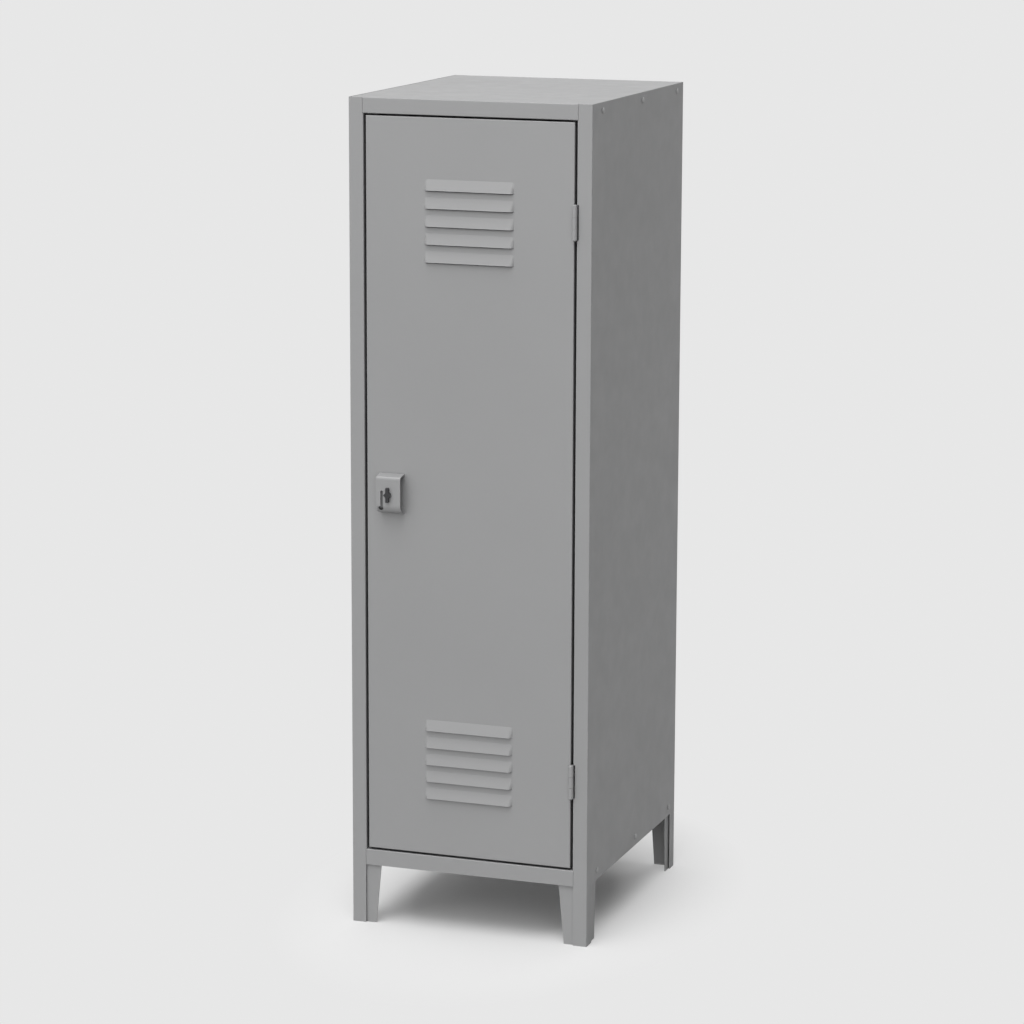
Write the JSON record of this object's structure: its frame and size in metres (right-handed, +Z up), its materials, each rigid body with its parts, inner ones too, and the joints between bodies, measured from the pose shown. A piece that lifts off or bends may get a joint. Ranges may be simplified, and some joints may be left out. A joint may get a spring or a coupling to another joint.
{
  "type": "metal locker",
  "caption": "Single-door sheet-steel locker on pressed legs, with a louvred hinged door, a pull hood with a turn lock, a hat shelf and a coat rail.",
  "frame": {"origin": "on the floor, under the middle of the overall box", "axes": "+Z up, the door faces -Y, +X towards the hinges"},
  "size_m": [0.3846, 0.4788, 1.27],
  "materials": {
    "coat": "satin",
    "dark_metal": "satin",
    "zinc": "satin",
    "rubber": "matte"
  },
  "bodies": {
    "cabinet": {"side_panel_left": "coat", "side_panel_right": "coat", "back_panel": "coat", "top_panel": "coat", "bottom_panel": "coat", "leg_front_left": "coat", "leg_front_right": "coat", "leg_rear_left": "coat", "leg_rear_right": "coat", "shelf": "coat", "shelf_clip_front_left": "zinc", "shelf_clip_front_right": "zinc", "shelf_clip_rear_left": "zinc", "shelf_clip_rear_right": "zinc", "coat_rail": "zinc", "rail_socket_left": "zinc", "rail_socket_right": "zinc", "door_buffer_upper": "rubber", "door_buffer_lower": "rubber", "hinge_upper_frame_leaf": "coat", "hinge_upper_pin": "coat", "hinge_lower_frame_leaf": "coat", "hinge_lower_pin": "coat", "rivet_left_1": "coat", "rivet_left_2": "coat", "rivet_left_3": "coat", "rivet_left_4": "coat", "rivet_left_5": "coat", "rivet_left_6": "coat", "rivet_back_left_1": "coat", "rivet_back_left_2": "coat", "rivet_back_left_3": "coat", "rivet_back_left_4": "coat", "rivet_right_1": "coat", "rivet_right_2": "coat", "rivet_right_3": "coat", "rivet_right_4": "coat", "rivet_right_5": "coat", "rivet_right_6": "coat", "rivet_back_right_1": "coat", "rivet_back_right_2": "coat", "rivet_back_right_3": "coat", "rivet_back_right_4": "coat"},
    "door": {"door_skin": "coat", "door_stiffener": "coat", "latch_hood": "coat", "lock_body": "dark_metal", "lock_nut": "zinc", "hinge_upper_door_leaf": "coat", "hinge_lower_door_leaf": "coat"},
    "lock": {"turn_wing": "dark_metal", "lock_cam": "zinc", "cam_nut": "zinc"}
  },
  "joints": [
    {"name": "door_swing", "type": "hinge", "parent": "cabinet", "child": "door", "pos_m": [0.16495, -0.21705, 0.679], "axis": [0, 0, 1], "range_deg": [0, 180]},
    {"name": "lock_turn", "type": "hinge", "parent": "door", "child": "lock", "pos_m": [-0.1215, -0.23325, 0.679], "axis": [0, 1, 0], "range_deg": [0, 90]}
  ]
}
